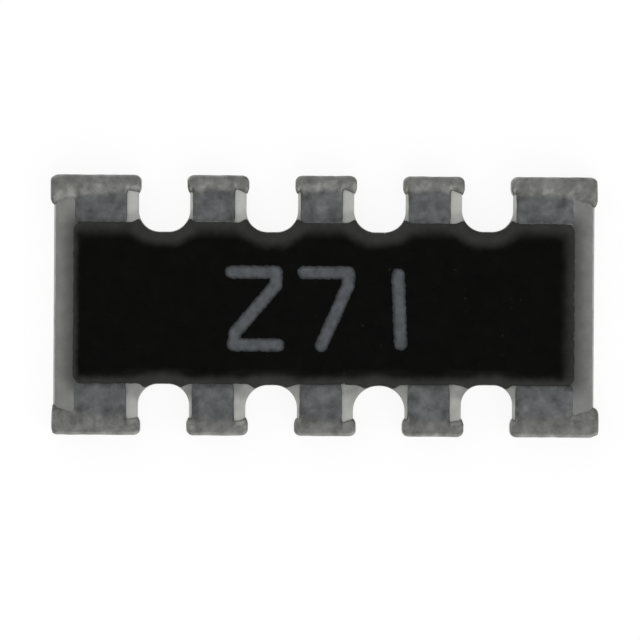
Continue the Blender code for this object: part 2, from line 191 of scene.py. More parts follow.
def kept_faces(kept, inner):
    """Squares of the grid with all corners kept, and half squares along slanted edges."""
    numbers = np.arange(kept.size).reshape(kept.shape)
    ring = [(0, 0), (1, 0), (1, 1), (0, 1)]

    def corner(values, i, j):
        return values[i:values.shape[0] - 1 + i, j:values.shape[1] - 1 + j]

    has = np.stack([corner(kept, i, j) for i, j in ring])
    deep = np.stack([corner(inner, i, j) for i, j in ring])
    number = np.stack([corner(numbers, i, j) for i, j in ring])
    faces = [tuple(face) for face in number[:, has.all(0)].T.tolist()]
    for missing in range(4):
        others = [k for k in range(4) if k != missing]
        half = ~has[missing] & has[others].all(0) & deep[others].any(0)
        faces += [tuple(face) for face in number[others][:, half].T.tolist()]
    return faces


def open_edges(faces):
    """Directed edges that only one face has, so they lie on the outline."""
    edges = {(face[k - 1], face[k]) for face in faces for k in range(len(face))}
    return sorted(edge for edge in edges if (edge[1], edge[0]) not in edges)


def film(reach, spacing, outline, heights, wall_levels=(), wall_shift=None):
    """Mesh of a closed film: reach is (low x, high x, low y, high y) of its grid.

    heights gives the lower and upper face from x, y and the depth inside the outline.
    wall_levels are shares of the wall's height, from its foot up, and wall_shift gives
    how far a wall point stands inside the outline."""
    columns = np.arange(reach[0] - spacing, reach[1] + 2 * spacing, spacing)
    rows = np.arange(reach[2] - spacing, reach[3] + 2 * spacing, spacing)
    x, y = np.meshgrid(columns, rows, indexing="ij")
    outside = outline(x, y)
    probe = spacing / PROBES_PER_STEP
    slope_x = (outline(x + probe, y) - outline(x - probe, y)) / (2 * probe)
    slope_y = (outline(x, y + probe) - outline(x, y - probe)) / (2 * probe)
    steep = np.maximum(slope_x ** 2 + slope_y ** 2, LEAST_SLOPE)
    near = np.abs(outside) <= spacing / 2
    x = np.where(near, x - outside * slope_x / steep, x)
    y = np.where(near, y - outside * slope_y / steep, y)
    lower, upper = heights(x, y, np.where(near, 0.0, -outside))

    faces = kept_faces(outside <= spacing / 2, ~near)
    used = sorted({number for face in faces for number in face})
    place = {number: k for k, number in enumerate(used)}
    faces = [tuple(place[number] for number in face) for face in faces]
    flat_x, flat_y = x.ravel()[used], y.ravel()[used]
    low_z, high_z = lower.ravel()[used], upper.ravel()[used]
    count = len(used)
    vertices = [np.column_stack((flat_x, flat_y, level_z)) for level_z in (high_z, low_z)]
    built = faces + [tuple(count + k for k in reversed(face)) for face in faces]

    rim = open_edges(faces)
    rim_points = sorted({k for edge in rim for k in edge})
    normal = np.column_stack((slope_x.ravel()[used], slope_y.ravel()[used]))[rim_points]
    normal /= np.linalg.norm(normal, axis=1)[:, None]
    ladder = [{k: k for k in rim_points}]
    for share in sorted(wall_levels, reverse=True):
        level_z = low_z[rim_points] + share * (high_z[rim_points] - low_z[rim_points])
        base = np.column_stack((flat_x, flat_y))[rim_points]
        shift = wall_shift(base[:, 0], base[:, 1], level_z, share)
        start = sum(len(group) for group in vertices)
        vertices.append(np.column_stack((base - normal * shift[:, None], level_z)))
        ladder.append({k: start + row for row, k in enumerate(rim_points)})
    ladder.append({k: count + k for k in rim_points})
    for upper_row, lower_row in zip(ladder, ladder[1:]):
        built += [(upper_row[b], upper_row[a], lower_row[a], lower_row[b]) for a, b in rim]
    return np.concatenate(vertices), built


# %% [markdown]
# ## From a mesh in millimetres to a piece of the part
#
# Each finished mesh is shrunk to metres, shaded smooth with its real creases kept,
# given its material and tied to the imported part's body, and the node it replaces is
# hidden. The helper also tests that the piece is closed.

# %% Placing a finished piece
CREASE = math.radians(55)
pieces_made = []


def link_object(name, data):
    """A new object in the scene for this mesh, lamp or camera."""
    made = bpy.data.objects.new(name, data)
    bpy.context.collection.objects.link(made)
    return made


def work_object(name, vertices, faces):
    """An object in the working unit, from plain vertices and faces."""
    mesh = bpy.data.meshes.new(name)
    mesh.from_pydata([tuple(v) for v in vertices], [], faces)
    mesh.validate()
    return link_object(name, mesh)


def is_closed(mesh):
    """Whether every edge joins two faces, and the faces look outwards."""
    bm = bmesh.new()
    bm.from_mesh(mesh)
    closed = all(edge.is_manifold for edge in bm.edges)
    volume = bm.calc_volume(signed=True)
    bm.free()
    return closed and volume > 0


def place_piece(piece, node, surface):
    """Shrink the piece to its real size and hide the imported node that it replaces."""
    piece.data.shade_smooth()
    piece.data.set_sharp_from_angle(angle=CREASE)
    closed = is_closed(piece.data)
    piece.data.transform(Matrix.Scale(MM, 4))
    piece.data.materials.clear()
    piece.data.materials.append(surface)
    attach(piece, "root")
    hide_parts(node)
    triangles = sum(len(face.vertices) - 2 for face in piece.data.polygons)
    pieces_made.append((piece.name, triangles))
    print(piece.name, triangles, "triangles, closed" if closed else "triangles, NOT CLOSED")


def mark(mesh, name, values):
    """Keep one number for each point of the mesh, which a material can read."""
    layer = mesh.attributes.new(name, "FLOAT", "POINT")
    layer.data.foreach_set("value", np.asarray(values, dtype=np.float32))


# %% [markdown]
# ## Helpers for materials
#
# A material is a small network of nodes around one Principled BSDF. Short helpers add a
# node with its settings, mix colours or numbers and link a finish to its shader. The
# place on the part is read in millimetres, so that the size of a grain or a patch can be
# written as it would be measured under a microscope.

# %% Node helpers
def add(tree, kind, inputs=None, **settings):
    """A node of this kind, with its settings and with values or links for its inputs."""
    node = tree.nodes.new(kind)
    for name, value in settings.items():
        setattr(node, name, value)
    for name, value in (inputs or {}).items():
        if isinstance(value, bpy.types.NodeSocket):
            tree.links.new(value, node.inputs[name])
        else:
            node.inputs[name].default_value = value
    return node


def mix_colors(tree, factor, first, second):
    """One colour that runs from the first to the second."""
    pair = [(*color, 1) if isinstance(color, tuple) else color for color in (first, second)]
    inputs = {0: factor, 6: pair[0], 7: pair[1]}
    return add(tree, "ShaderNodeMix", data_type="RGBA", inputs=inputs).outputs[2]


def mix_numbers(tree, factor, first, second):
    """One number that runs from the first to the second."""
    inputs = {0: factor, 2: first, 3: second}
    return add(tree, "ShaderNodeMix", data_type="FLOAT", inputs=inputs).outputs[0]


def spread(tree, value, low, high):
    """A mask between 0 and 1, spread to run from low to high."""
    inputs = {"Value": value, "To Min": low, "To Max": high}
    return add(tree, "ShaderNodeMapRange", inputs=inputs).outputs["Result"]


def combined(tree, operation, first, second):
    """One number from two."""
    inputs = {0: first, 1: second}
    return add(tree, "ShaderNodeMath", operation=operation, inputs=inputs).outputs[0]


def marked(tree, name):
    """The number that the mesh keeps under this name at each point."""
    return add(tree, "ShaderNodeAttribute", attribute_name=name).outputs["Fac"]


# %% From an empty material to a finish
def new_material(name):
    made = bpy.data.materials.new(name)
    made.use_nodes = True
    return made, made.node_tree


def start_finish(name):
    """A new material, its nodes, and the place on the part in millimetres."""
    made, tree = new_material(name)
    place = add(tree, "ShaderNodeTexCoord").outputs["Object"]
    inputs = {0: place, "Scale": 1 / MM}
    place_in_mm = add(tree, "ShaderNodeVectorMath", operation="SCALE", inputs=inputs)
    return made, tree, place_in_mm.outputs["Vector"]


def end_finish(surface, color, roughness, relief=None, depth=0.002, strength=0.5, **constants):
    """Link colour, roughness and relief (its depth in millimetres) to the shader. Each
    constant's name is its socket's, with an underscore for a space."""
    tree = surface.node_tree
    shader = tree.nodes["Principled BSDF"]
    tree.links.new(color, shader.inputs["Base Color"])
    tree.links.new(roughness, shader.inputs["Roughness"])
    for name, value in constants.items():
        shader.inputs[name.replace("_", " ")].default_value = value
    if relief is not None:
        inputs = {"Height": relief, "Distance": depth * MM, "Strength": strength}
        bump = add(tree, "ShaderNodeBump", inputs=inputs)
        tree.links.new(bump.outputs["Normal"], shader.inputs["Normal"])
    print("material made:", surface.name)


# %% [markdown]
# ## Shared effects as node groups
#
# Cloudy patches, fine grain and sparse specks return on ceramic, metal, coat and ink at
# different sizes. Each is built once as a node group with named inputs, and placed in
# each material with its own values.

# %% Group frame
def start_group(name, inputs, outputs):
    """An empty group with named sockets: inputs maps a name to its kind and first value."""
    group = bpy.data.node_groups.new(name, "ShaderNodeTree")
    for socket_name, (kind, value) in inputs.items():
        kind = "NodeSocket" + kind
        socket = group.interface.new_socket(socket_name, in_out="INPUT", socket_type=kind)
        if value is not None:
            socket.default_value = value
    for socket_name in outputs:
        group.interface.new_socket(socket_name, in_out="OUTPUT", socket_type="NodeSocketFloat")
    given, result = group.nodes.new("NodeGroupInput"), group.nodes.new("NodeGroupOutput")
    return group, given.outputs, result.inputs


def use_group(tree, group, **values):
    """The group placed in a material, with a value or a link for each named input."""
    return add(tree, "ShaderNodeGroup", node_tree=group, inputs=values).outputs


# %% Cloudy patches
clouds, given, result = start_group("cloudy patches", {
    "Place": ("Vector", None), "Patch": ("Float", 0.2), "Contrast": ("Float", 1.0),
    "Seed": ("Float", 0.0),
}, ["Mask"])
per_mm = combined(clouds, "DIVIDE", 1.0, given["Patch"])
cloud = add(clouds, "ShaderNodeTexNoise", noise_dimensions="4D", inputs={
    "Vector": given["Place"], "W": given["Seed"], "Scale": per_mm,
    "Detail": 3.0, "Roughness": 0.6,
})
around_zero = combined(clouds, "SUBTRACT", cloud.outputs["Fac"], 0.5)
stronger = combined(clouds, "MULTIPLY", around_zero, given["Contrast"])
centered = combined(clouds, "ADD", stronger, 0.5)
centered.node.use_clamp = True
clouds.links.new(centered, result["Mask"])
print("group made:", clouds.name)

# %% Fine grain
grain, given, result = start_group("fine grain", {
    "Place": ("Vector", None), "Grain": ("Float", 0.01), "Crystals": ("Float", 0.5),
    "Seed": ("Float", 0.0),
}, ["Height", "Mask"])
per_mm = combined(grain, "DIVIDE", 1.0, given["Grain"])
powder = add(grain, "ShaderNodeTexNoise", noise_dimensions="4D", inputs={
    "Vector": given["Place"], "W": given["Seed"], "Scale": per_mm,
    "Detail": 2.0, "Roughness": 0.65,
})
cells = add(grain, "ShaderNodeTexVoronoi", feature="SMOOTH_F1", inputs={
    "Vector": given["Place"], "Scale": per_mm, "Smoothness": 0.35,
})
domes = combined(grain, "SUBTRACT", 1.0, cells.outputs["Distance"])
height = mix_numbers(grain, given["Crystals"], powder.outputs["Fac"], domes)
grain.links.new(height, result["Height"])
tone = add(grain, "ShaderNodeSeparateColor", inputs={"Color": cells.outputs["Color"]})
grain.links.new(tone.outputs["Red"], result["Mask"])
print("group made:", grain.name)

# %% Sparse specks
specks, given, result = start_group("sparse specks", {
    "Place": ("Vector", None), "Spacing": ("Float", 0.1), "Size": ("Float", 0.2),
    "Share": ("Float", 0.3),
}, ["Mask"])
per_mm = combined(specks, "DIVIDE", 1.0, given["Spacing"])
dots = add(specks, "ShaderNodeTexVoronoi", inputs={"Vector": given["Place"], "Scale": per_mm})
lot = add(specks, "ShaderNodeSeparateColor", inputs={"Color": dots.outputs["Color"]})
chosen = combined(specks, "LESS_THAN", lot.outputs["Red"], given["Share"])
own_size = combined(specks, "MULTIPLY", lot.outputs["Green"], given["Size"])
inside = combined(specks, "SUBTRACT", own_size, dots.outputs["Distance"])
soft = add(specks, "ShaderNodeMapRange", inputs={
    "Value": inside, "From Min": -0.02, "From Max": 0.06, "To Min": 0.0, "To Max": chosen,
})
specks.links.new(soft.outputs["Result"], result["Mask"])
print("group made:", specks.name)

# %% [markdown]
# ## Alumina
#
# The board is sintered alumina: white powder fired until its grains weld together. It
# is matte, a little grey next to a lit background, and its tone drifts in faint clouds.
# A flat white would look like plastic, so fine grain goes into the bump, clouds into
# the colour, and a few dark inclusions sit in it as they do in real substrates. Where
# the board was snapped, the mesh says so in `broken`, and the grain shows more there.
# Beside the coat, resin has soaked into the bare ceramic and stains it grey, which the
# mesh marks in `veil`.

# %% Material: alumina
alumina, tree, place = start_finish("alumina")
drift = use_group(tree, clouds, Place=place, Patch=0.35, Contrast=1.4, Seed=1.0)["Mask"]
fired = use_group(tree, grain, Place=place, Grain=0.012, Crystals=0.6, Seed=2.0)
dark_grains = use_group(tree, specks, Place=place, Spacing=0.07, Size=0.22, Share=0.12)["Mask"]
body = mix_colors(tree, drift, (0.49, 0.498, 0.475), (0.585, 0.59, 0.56))
grain_strength = spread(tree, marked(tree, "broken"), 0.25, 0.75)
grain_strength = combined(tree, "MULTIPLY", fired["Mask"], grain_strength)
grainy = mix_colors(tree, grain_strength, body, (0.37, 0.365, 0.34))
spotted = mix_colors(tree, spread(tree, dark_grains, 0.0, 0.6), grainy, (0.20, 0.19, 0.17))
stained = mix_colors(tree, marked(tree, "veil"), spotted, (0.108, 0.107, 0.102))
end_finish(alumina, stained, spread(tree, drift, 0.55, 0.7), fired["Height"],
           depth=0.004, strength=0.6, Specular_IOR_Level=0.4)

# %% [markdown]
# ## Printed conductor
#
# The strip along each short end is silver-palladium paste, screen printed and fired.
# It is a metal, but its fired surface scatters light, so its roughness is high. Its
# tone drifts in soft clouds. Resin has crept out of the coat and darkens the metal
# beside it, which the mesh marks in `veil`.

# %% Material: printed conductor
silver_palladium, tree, place = start_finish("silver_palladium")
drift = use_group(tree, clouds, Place=place, Patch=0.22, Contrast=2.0, Seed=4.0)["Mask"]
fired = use_group(tree, grain, Place=place, Grain=0.010, Crystals=0.4, Seed=5.0)
metal = mix_colors(tree, drift, (0.320, 0.322, 0.315), (0.427, 0.429, 0.417))
veil = spread(tree, marked(tree, "veil"), 0.0, 0.85)
veiled = mix_colors(tree, veil, metal, (0.11, 0.111, 0.107))
end_finish(silver_palladium, veiled, spread(tree, fired["Mask"], 0.46, 0.58), fired["Height"],
           Metallic=1.0)

# %% [markdown]
# ## Resistor paste and glass
#
# Under the coat, out of sight, lie the resistor films and the glass over them. The
# films are a dark ruthenium oxide with a slight metallic glitter, painted as glints of
# lighter specks, and the glass is a thin green glaze. They are finished too, because
# the library's users may open the part.

# %% Materials: resistor paste and green glass
resistor_paste, tree, place = start_finish("resistor_paste")
fired = use_group(tree, grain, Place=place, Grain=0.01, Crystals=0.5, Seed=6.0)
# Painted glints: lighter specks in the paste's colour stand for its metallic glitter.
glitter = use_group(tree, specks, Place=place, Spacing=0.02, Size=0.4, Share=0.2)["Mask"]
paste = mix_colors(tree, glitter, (0.022, 0.022, 0.024), (0.12, 0.12, 0.13))
end_finish(resistor_paste, paste, spread(tree, fired["Mask"], 0.4, 0.6), fired["Height"])

green_glass, tree, place = start_finish("green_glass")
drift = use_group(tree, clouds, Place=place, Patch=0.3, Contrast=1.5, Seed=7.0)["Mask"]
bubbles = use_group(tree, specks, Place=place, Spacing=0.06, Size=0.25, Share=0.3)["Mask"]
glaze = mix_colors(tree, drift, (0.03, 0.10, 0.055), (0.05, 0.15, 0.085))
bubbly = mix_colors(tree, bubbles, glaze, (0.10, 0.22, 0.14))
end_finish(green_glass, bubbly, spread(tree, drift, 0.12, 0.25))

# %% [markdown]
# ## Black coat
#
# The coat is black epoxy, screen printed and cured. Seen from above it is nearly as
# dark as ink on paper, with a faint soft sheen at low angles, fine dust and pinholes.
# Where it thins out at the notches the pale ceramic lightens it to dark grey: the mesh
# keeps how thick the coat is at each point in `cover`, and the colour reads it.

# %% Material: black coat
black_coat, tree, place = start_finish("black_coat")
drift = use_group(tree, clouds, Place=place, Patch=0.16, Contrast=1.8, Seed=8.0)["Mask"]
resin = use_group(tree, grain, Place=place, Grain=0.016, Crystals=0.35, Seed=9.0)
dust = use_group(tree, specks, Place=place, Spacing=0.11, Size=0.16, Share=0.22)["Mask"]
body = mix_colors(tree, drift, (0.0006, 0.0006, 0.0005), (0.0020, 0.0019, 0.0015))
dusty = mix_colors(tree, spread(tree, dust, 0.0, 0.3), body, (0.03, 0.03, 0.028))
run_out = mix_colors(tree, drift, (0.027, 0.027, 0.025), (0.043, 0.043, 0.040))
thin_edge = mix_colors(tree, marked(tree, "cover"), run_out, dusty)
end_finish(black_coat, thin_edge, spread(tree, drift, 0.30, 0.42), resin["Height"],
           Specular_IOR_Level=0.09)

# %% [markdown]
# ## Marking ink
#
# The code is printed in a pale ink that has sunk in and greyed, so it reads as a cool
# mid grey on black. Its film is thinner along its edges, where the black shows through,
# and uneven inside. The mesh keeps the ink's density in `cover`.

# %% Material: marking ink
marking_ink, tree, place = start_finish("marking_ink")
drift = use_group(tree, clouds, Place=place, Patch=0.09, Contrast=2.2, Seed=11.0)["Mask"]
pigment = use_group(tree, grain, Place=place, Grain=0.012, Crystals=0.3, Seed=12.0)
pale = mix_colors(tree, drift, (0.066, 0.071, 0.078), (0.118, 0.127, 0.139))
inked = mix_colors(tree, marked(tree, "cover"), (0.014, 0.015, 0.016), pale)
end_finish(marking_ink, inked, spread(tree, pigment["Mask"], 0.6, 0.8), pigment["Height"],
           Specular_IOR_Level=0.2)

# %% [markdown]
# ## Matte tin
#
# Each terminal is plated with nickel and matte tin, which grows in fine crystals and
# stays dull. The flat pad on top is mottled, with lighter spots along its middle. The
# cap around the tip is a little lighter and warmer, with painted shade where its lower
# edge beads up, and its upright faces are more even. Sloped faces on top get painted
# shade too. The mesh marks the cap in `cap`, the upright faces in `upright` and how
# light each place is in `tone`, painted shade included, so one material serves the
# whole skin, as the plating does.

# %% Material: matte tin
matte_tin, tree, place = start_finish("matte_tin")
mottle = use_group(tree, clouds, Place=place, Patch=0.09, Contrast=2.4, Seed=14.0)["Mask"]
flecks = use_group(tree, clouds, Place=place, Patch=0.025, Contrast=2.2, Seed=15.0)["Mask"]
plated = use_group(tree, grain, Place=place, Grain=0.008, Crystals=0.7, Seed=16.0)
spots = mix_numbers(tree, 0.35, mottle, flecks)
evenness = spread(tree, marked(tree, "upright"), 0.0, 0.65)
calm = mix_numbers(tree, evenness, spots, 0.5)
light = mix_numbers(tree, 0.45, marked(tree, "tone"), calm)
pad_color = mix_colors(tree, light, (0.085, 0.087, 0.088), (0.330, 0.339, 0.344))
cap_color = mix_colors(tree, light, (0.135, 0.136, 0.127), (0.485, 0.487, 0.465))
tin = mix_colors(tree, marked(tree, "cap"), pad_color, cap_color)
end_finish(matte_tin, tin, spread(tree, spots, 0.46, 0.36), plated["Height"],
           depth=0.0015, Metallic=1.0)

# %% [markdown]
# ## The ceramic board
#
# The board is fired with score lines pressed into it and is then snapped apart, so the
# upper third of its ends is the smooth slanted face of the score, and the rest is broken
# ceramic. The notches were punched before firing, and their walls are smooth with
# upright drag marks. The walls get several rows of points, which are pushed inwards by
# noise: coarse grains on the snapped sides, upright streaks in the notches.

# %% Building the board
BOARD_STEP = 0.025
EDGE_ROUND = 0.018
TAB_CORNER = 0.03
SCORE_SHARE = 0.66
SCORE_WANDER = 0.05
SCORE_SLANT = 0.012
SCORE_GRAIN = 0.002
SNAP_DEPTH = 0.021
CHIP_DEPTH = 0.0168
DRAG_DEPTH = 0.006
DRAG_STRETCH = 6
NOTCH_MARGIN = 0.01
TOP_BAND = 0.06
WALL_BAND = (-0.045, -0.035)
FOOT_BAND = (0.02, 0.06)
SCORE_BAND = 0.04
board_rectangle = board_low[0], board_high[0], board_low[1], board_high[1]
wall_shares = [0.03, 0.07] + [k / 20 for k in range(2, 19)] + [0.93, 0.97]


def board_outline(x, y):
    edge = block_distance(x, y, *board_rectangle, TAB_CORNER)
    return overlap_distance(edge, -notch_distance(x, y), TAB_CORNER)


def edge_rise(depth, radius):
    """The height of a rounded edge, from 0 at the outline to 1 this radius inside it."""
    return np.sqrt(1 - (1 - np.clip(depth / radius, 0, 1)) ** 2)


def board_faces(x, y, depth):
    """The flat faces fall away over the last hundredths before the edge."""
    fall = EDGE_ROUND * (1 - edge_rise(depth, EDGE_ROUND)) / 2
    return board_low[2] + fall, board_high[2] - fall


def board_wall(x, y, z, share):
    """How far the wall stands back: rounded edges, broken grain or punch marks."""
    height = board_high[2] - board_low[2]
    from_face = min(share, 1 - share) * height
    rounding = EDGE_ROUND * max(0.0, 1 - from_face / EDGE_ROUND) ** 2 / 2
    in_notch = notch_distance(x, y) < NOTCH_MARGIN
    crack = SCORE_SHARE + SCORE_WANDER * lumps(x, y, 0.0, patch=0.25, seed=24, octaves=3)
    scored = SCORE_SLANT * np.clip((share - crack) / (1 - SCORE_SHARE), 0, 1)
    scored += SCORE_GRAIN * lumps(x, y, z, patch=0.05, seed=25, octaves=2)
    snapped = SNAP_DEPTH * (0.5 + 0.5 * lumps(x, y, z, patch=0.11, seed=21, octaves=4))
    chips = CHIP_DEPTH * np.clip(lumps(x, y, z, patch=0.04, seed=22, octaves=3), 0, 1)
    drags = DRAG_DEPTH * (0.5 + 0.5 * lumps(x, y, z / DRAG_STRETCH, patch=0.05, seed=23, octaves=3))
    ends = np.where(share > crack, scored, snapped + chips)
    return rounding + np.where(in_notch, drags, ends)


def broken_share(points):
    """1 on the snapped part of the walls, and 0 on the faces, the score and the notches."""
    x, y, z = points.T
    share = (z - board_low[2]) / (board_high[2] - board_low[2])
    outside = block_distance(x, y, *board_rectangle)
    on_wall = eased(outside, *WALL_BAND) * (notch_distance(x, y) > NOTCH_MARGIN)
    below_score = 1 - eased(share, SCORE_SHARE - SCORE_BAND, SCORE_SHARE + SCORE_BAND)
    return on_wall * eased(share, *FOOT_BAND) * below_score


def top_share(z):
    """1 at the height of the board's top face, and 0 lower down."""
    return eased(z, board_high[2] - TOP_BAND, board_high[2])


board_points, faces = film(board_rectangle, BOARD_STEP, board_outline, board_faces,
                           wall_shares, board_wall)
board = work_object("ceramic_board", board_points, faces)
mark(board.data, "broken", broken_share(board_points))
place_piece(board, "substrate", alumina)

# %% [markdown]
# ## The printed conductor
#
# Paste is pushed through a fine screen, so its edges wave a little and round off. The
# bus, both end strips and the corner pads are one print, and so one mesh.

# %% Building the printed conductor
PRINT_STEP = 0.02
PRINT_EDGE = 0.02
PRINT_EDGE_SHARE = 0.35
PRINT_CORNER = 0.01
BUS_HALF = 0.12
STRIP_INNER = half_length - 0.30
PAD_INNER = 0.665
VEIL_REACH = (-0.02, 0.22)
print_rectangle = print_low[0], print_high[0], print_low[1], print_high[1]
corner_pads = [corners(f"back_pad_{number}") for number in (1, 5, 6, 10)]


def waviness(x, y, size, patch, seed):
    """A wobble for an outline, the same all through the thickness."""
    return size * lumps(x, y, 0.0, patch, seed, 2)


def conductor_outline(x, y):
    low_x, high_x, low_y, high_y = print_rectangle
    blocks = [(low_x, -STRIP_INNER, low_y, high_y), (STRIP_INNER, high_x, low_y, high_y)]
    for pad_low, pad_high in corner_pads:
        side = math.copysign(1.0, pad_low[1])
        left = low_x if pad_low[0] < 0 else pad_low[0]
        right = high_x if pad_low[0] > 0 else pad_high[0]
        blocks.append((left, right, *sorted((side * PAD_INNER, side * high_y))))
    nearest = block_distance(x, y, low_x, high_x, -BUS_HALF, BUS_HALF)
    for block in blocks:
        nearest = np.minimum(nearest, block_distance(x, y, *block, PRINT_CORNER))
    return nearest + waviness(x, y, size=0.004, patch=0.06, seed=31)


def conductor_faces(x, y, depth):
    thickness = print_high[2] - print_low[2]
    rise = edge_rise(depth, PRINT_EDGE)
    ripple = 0.0012 * lumps(x, y, 0.0, patch=0.08, seed=32, octaves=3)
    thickness *= PRINT_EDGE_SHARE + (1 - PRINT_EDGE_SHARE) * rise
    upper = print_low[2] + thickness + ripple * rise
    return np.full_like(x, print_low[2]), upper


vertices, faces = film(print_rectangle, PRINT_STEP, conductor_outline, conductor_faces)
conductor = work_object("printed_conductor", vertices, faces)
x, y = vertices[:, 0], vertices[:, 1]
from_coat = block_distance(x, y, coat_low[0], coat_high[0], coat_low[1], coat_high[1], 0.05)
from_coat += waviness(x, y, size=0.02, patch=0.12, seed=33)
mark(conductor.data, "veil", 1 - eased(from_coat, *VEIL_REACH))
place_piece(conductor, "common_conductor", silver_palladium)

# %% [markdown]
# ## What lies under a film
#
# A wet film settles over the layers below it. To find them, a ray is dropped on the
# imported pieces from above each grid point: where it lands is the ground there. The
# ground is then blurred, because a thick coat shows a step below it as a soft swell.

# %% Dropping rays and blurring
DROP_HEIGHT = 5.0
DOWN = Vector((0, 0, -1))


def faces_tree(items):
    """A tree of all faces of these objects, in millimetres."""
    vertices, polygons = [], []
    for item in items:
        start = len(vertices)
        vertices += [v.co / MM for v in item.data.vertices]
        polygons += [[start + k for k in face.vertices] for face in item.data.polygons]
    return BVHTree.FromPolygons(vertices, polygons)


def landing_height(surface, x, y, default):
    """The height at which a ray from above lands on the surface, for each place."""
    heights = np.full(np.shape(x), default, dtype=float)
    for index in np.ndindex(x.shape):
        hit = surface.ray_cast(Vector((x[index], y[index], DROP_HEIGHT)), DOWN)[0]
        if hit is not None:
            heights[index] = hit.z
    return heights


def blurred(values, times):
    """Each number averaged with its neighbours on the grid, several times over."""
    for _ in range(times):
        for axis in (0, 1):
            last = values.shape[axis] - 1
            before = values.take([0, *range(last)], axis)
            after = values.take([*range(1, last + 1), last], axis)
            values = (before + 2 * values + after) / 4
    return values


numbers = range(1, 2 * COLUMNS + 1)
middle_numbers = [number for number in numbers if number % COLUMNS not in (0, 1)]
under_coat = ["substrate", "common_conductor", "glass_layer"]
under_coat += [f"signal_pad_{number}" for number in middle_numbers]
under_coat += [f"terminal_{number}" for number in numbers]
coat_ground = faces_tree([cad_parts[node] for node in under_coat])
glass_height = landing_height(coat_ground, np.zeros(1), np.zeros(1), 0)
print("middle of the glass lies at", np.round(glass_height, 4))

# %% [markdown]
# ## The black coat
#
# The coat is a rounded rectangle that the notches bite into. It laps a little way over
# the pads' plating, creeps outwards on the bare ceramic beside each notch, rises softly
# over the glass and thins towards its edge. It runs out widest at the right end and at
# the back row's notches, where it looks dark grey. Its screen leaves a fine wave along
# the edge. Its resin has soaked into the bare ceramic beside it, most along the front
# row, so the board gets its `veil` here as well.

# %% Building the coat
COAT_STEP = 0.019
COAT_THICKNESS = 0.036
COAT_EDGE = 0.11
COAT_EDGE_SHARE = 0.14
COAT_EDGE_POWER = 0.75
COAT_CORNER = 0.10
COAT_LAP = 0.016
COAT_CREEP = 0.045
CREEP_REACH = 0.07
LEAST_COAT = 0.010
LEAST_EDGE = 0.004
COAT_HEADROOM = 0.001
NOTCH_SETBACK = 0.007
THIN_REACH = 0.15
BLUR_TIMES = 22

# From and to which depth inside its edge the coat turns from grey to black at both ends.
BLACK_AT_LEFT = (0.0, 0.08)
BLACK_AT_RIGHT = (-0.02, 0.18)

# For the back and the front row: how deep it is black behind the tabs, and how deep it
# stays grey at the notches.
BLACK_AT_TABS = (0.19, 0.11)
GREY_AT_NOTCHES = (0.07, 0.03)

# For the front and the back row: the stain beside the coat, from where to where it fades,
# the stain further out and how uneven it is.
FRONT_STAIN = (0.42, (0.08, 0.22), 0.18, 0.20)
BACK_STAIN = (0.30, (0.06, 0.16), 0.04, 0.08)


def coat_outline(x, y):
    low_y, high_y = coat_low[1] - COAT_LAP, coat_high[1] + COAT_LAP
    edge = block_distance(x, y, coat_low[0], coat_high[0], low_y, high_y, COAT_CORNER)
    from_notch = notch_distance(x, y)
    edge -= COAT_CREEP * np.exp(-(np.maximum(from_notch, 0) / CREEP_REACH) ** 2)
    edge += waviness(x, y, size=0.007, patch=0.08, seed=41)
    bites = NOTCH_SETBACK - from_notch + waviness(x, y, size=0.003, patch=0.05, seed=44)
    return np.maximum(edge, bites)


def coat_cover(x, y):
    """1 where the coat is black, and less where it runs out over metal or ceramic."""
    wander = 0.018 * lumps(x, y, 0.0, patch=0.13, seed=45, octaves=3)
    from_notch = notch_distance(x, y) - NOTCH_SETBACK + wander
    from_notch += 0.03 * lumps(x, y, 0.0, patch=0.5, seed=46, octaves=2)
    plateau = np.where(y > 0, *GREY_AT_NOTCHES)
    over_notch = eased(from_notch, plateau, plateau + THIN_REACH)
    at_left = eased(x - coat_low[0] + wander, *BLACK_AT_LEFT)
    at_right = eased(coat_high[0] - x + wander, *BLACK_AT_RIGHT)
    from_tabs = np.minimum(coat_high[1] - y, y - coat_low[1])
    at_tabs = eased(from_tabs + wander, -COAT_LAP, np.where(y > 0, *BLACK_AT_TABS))
    return over_notch * at_left * at_right * at_tabs


def coat_faces(x, y, depth):
    ground = landing_height(coat_ground, x, y, board_high[2])
    inward = np.clip(depth / COAT_EDGE, 0, 1)
    cover = (inward * (2 - inward)) ** COAT_EDGE_POWER
    swell = 0.0016 * lumps(x, y, 0.0, patch=0.35, seed=42, octaves=3)
    swell += 0.0005 * lumps(x, y, 0.0, patch=0.06, seed=43, octaves=2)
    thickness = COAT_THICKNESS * (COAT_EDGE_SHARE + (1 - COAT_EDGE_SHARE) * cover)
    upper = blurred(ground, BLUR_TIMES) + SEAT_GAP + thickness + swell * cover
    upper = np.clip(upper, ground + LEAST_COAT, coat_high[2] + COAT_HEADROOM)
    return np.minimum(ground + SEAT_GAP, upper - LEAST_EDGE), upper


def row_stain(from_coat, uneven, beside, fade, further_out, unevenness):
    return beside * (1 - eased(from_coat, *fade)) + further_out + unevenness * uneven


def stain_share(points):
    """How far resin has soaked into the bare ceramic: most beside the front row's coat."""
    x, y, z = points.T
    from_coat = coat_outline(x, y) + waviness(x, y, size=0.02, patch=0.10, seed=47)
    uneven = lumps(x, y, 0.0, patch=0.16, seed=48, octaves=2)
    rows = [row_stain(from_coat, uneven, *row) for row in (FRONT_STAIN, BACK_STAIN)]
    return np.clip(np.where(y < 0, *rows), 0, 1) * top_share(z)


widest = COAT_LAP + COAT_CREEP
coat_reach = coat_low[0], coat_high[0], coat_low[1] - widest, coat_high[1] + widest
vertices, faces = film(coat_reach, COAT_STEP, coat_outline, coat_faces)
coat = work_object("black_coat", vertices, faces)
mark(coat.data, "cover", coat_cover(vertices[:, 0], vertices[:, 1]))
place_piece(coat, "overcoat", black_coat)
mark(board.data, "veil", stain_share(board_points))

